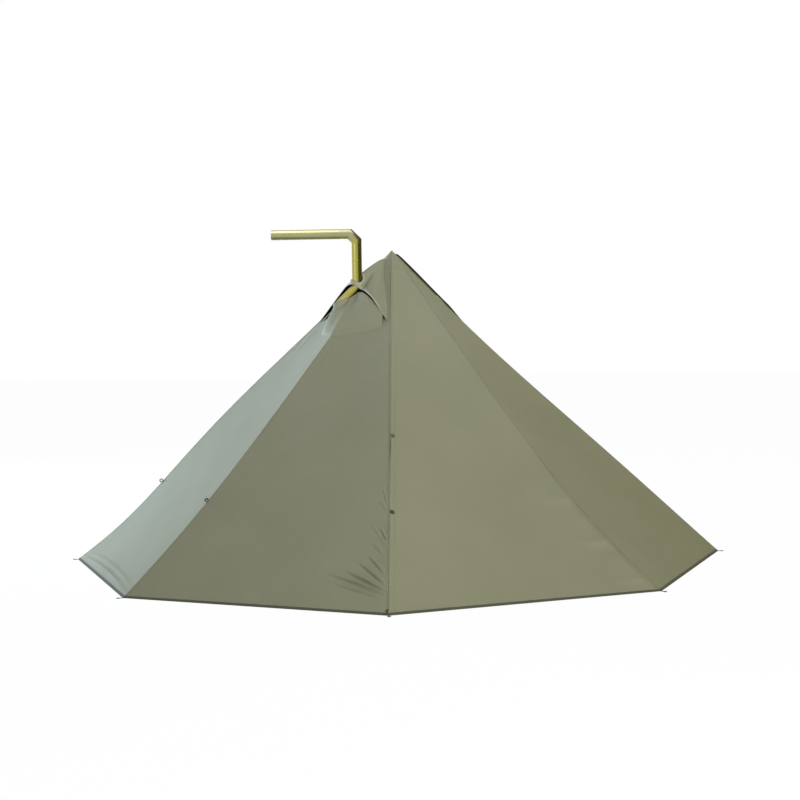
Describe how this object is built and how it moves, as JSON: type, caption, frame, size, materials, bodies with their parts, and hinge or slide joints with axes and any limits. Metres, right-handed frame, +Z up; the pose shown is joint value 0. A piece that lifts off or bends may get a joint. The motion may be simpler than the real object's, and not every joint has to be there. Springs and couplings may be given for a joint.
{
  "type": "pyramid tent with stove",
  "caption": "Pyramid tent on a centre pole, with a zipped triangular door, a hooded stove jack, a bent flue and a wood stove inside, and a netted rear vent.",
  "frame": {"origin": "on the ground under the peak, where the centre pole stands, at the middle of the base", "axes": "+Z up; -Y towards the front corner, where the door zip ends; +X to the right, seen from the front"},
  "size_m": [4.372, 4.372, 2.1705],
  "materials": {
    "olive_cloth": "proofed ripstop cloth with a soft sheen",
    "hood_cloth": "matt heat-resistant cloth",
    "black_jack_cloth": "matt coated glass cloth",
    "netting": "fine netting",
    "webbing": "woven webbing",
    "black_nylon": "moulded",
    "alloy": "anodised",
    "black_rubber": "moulded",
    "heat_tinted_pipe": "thin rolled pipe, tinted gold by heat",
    "stove_steel": "folded sheet, brushed",
    "steel_wire": "drawn wire"
  },
  "bodies": {
    "tent": {"front_left_panel": "olive_cloth", "left_front_panel": "olive_cloth", "left_back_panel": "olive_cloth", "back_left_panel": "olive_cloth", "back_right_panel": "olive_cloth", "right_back_panel": "olive_cloth", "right_front_panel": "olive_cloth", "front_right_panel": "olive_cloth", "crown_cap": "olive_cloth", "front_ridge_tape": "olive_cloth", "front_left_ridge_tape": "olive_cloth", "left_ridge_tape": "olive_cloth", "back_left_ridge_tape": "olive_cloth", "back_ridge_tape": "olive_cloth", "back_right_ridge_tape": "olive_cloth", "right_ridge_tape": "olive_cloth", "front_right_ridge_tape": "olive_cloth", "front_peg_loop": "webbing", "front_left_peg_loop": "webbing", "left_peg_loop": "webbing", "back_left_peg_loop": "webbing", "back_peg_loop": "webbing", "back_right_peg_loop": "webbing", "right_peg_loop": "webbing", "front_right_peg_loop": "webbing", "jack_hood": "hood_cloth", "jack_patch": "black_jack_cloth", "jack_pocket": "olive_cloth", "vent_hood": "hood_cloth", "vent_net": "netting", "vent_prop": "black_nylon", "door_storm_flap": "olive_cloth", "flap_tab_upper": "webbing", "flap_tab_lower": "webbing", "pole_foot": "black_rubber", "pole_section_1": "alloy", "pole_section_2": "alloy", "pole_section_3": "alloy", "pole_section_4": "alloy", "pole_tip": "black_rubber", "flue_collar": "stove_steel", "flue_section_lower": "heat_tinted_pipe", "flue_section_middle": "heat_tinted_pipe", "flue_offset": "heat_tinted_pipe", "flue_section_upper": "heat_tinted_pipe", "stove_body": "stove_steel", "stove_hinge_pin": "steel_wire", "grate": "stove_steel", "stove_leg_front": "steel_wire", "stove_leg_rear": "steel_wire"},
    "door": {"door_leaf": "olive_cloth", "door_zip_chain": "black_nylon"},
    "slider": {"zip_slider": "black_nylon"},
    "pull": {"zip_pull": "black_nylon"},
    "arm": {"flue_arm": "heat_tinted_pipe"},
    "damper": {"damper_plate": "stove_steel", "damper_grip": "steel_wire"},
    "firebox_door": {"stove_door": "stove_steel"},
    "air_gate": {"air_slide": "stove_steel"}
  },
  "joints": [
    {"name": "door_fold", "type": "hinge", "parent": "tent", "child": "door", "pos_m": [-1.52028, -1.52028, 0.001], "axis": [-0.6598, -0.3985, -0.6371], "range_deg": [0, 150]},
    {"name": "zip_travel", "type": "slide", "parent": "door", "child": "slider", "axis": [0, 0.7256, 0.6881], "range_m": [0, 2.03]},
    {"name": "pull_hinge", "type": "hinge", "parent": "slider", "child": "pull", "pos_m": [-0.00724, -2.13189, 0.0255], "axis": [-0.9617, 0.1886, -0.1989], "range_deg": [0, 150]},
    {"name": "arm_swivel", "type": "hinge", "parent": "tent", "child": "arm", "pos_m": [-0.2236, -0.2236, 2.138], "axis": [0, 0, 1], "continuous": true},
    {"name": "damper_turn", "type": "hinge", "parent": "tent", "child": "damper", "pos_m": [-0.344, -0.2236, 0.78], "axis": [0, 1, 0], "range_deg": [0, 90]},
    {"name": "stove_door_hinge", "type": "hinge", "parent": "tent", "child": "firebox_door", "pos_m": [-0.7041, -0.1416, 0.2925], "axis": [0, 0, -1], "range_deg": [0, 120]},
    {"name": "air_gate_travel", "type": "slide", "parent": "tent", "child": "air_gate", "axis": [0, -1, 0], "range_m": [0, 0.015]}
  ]
}
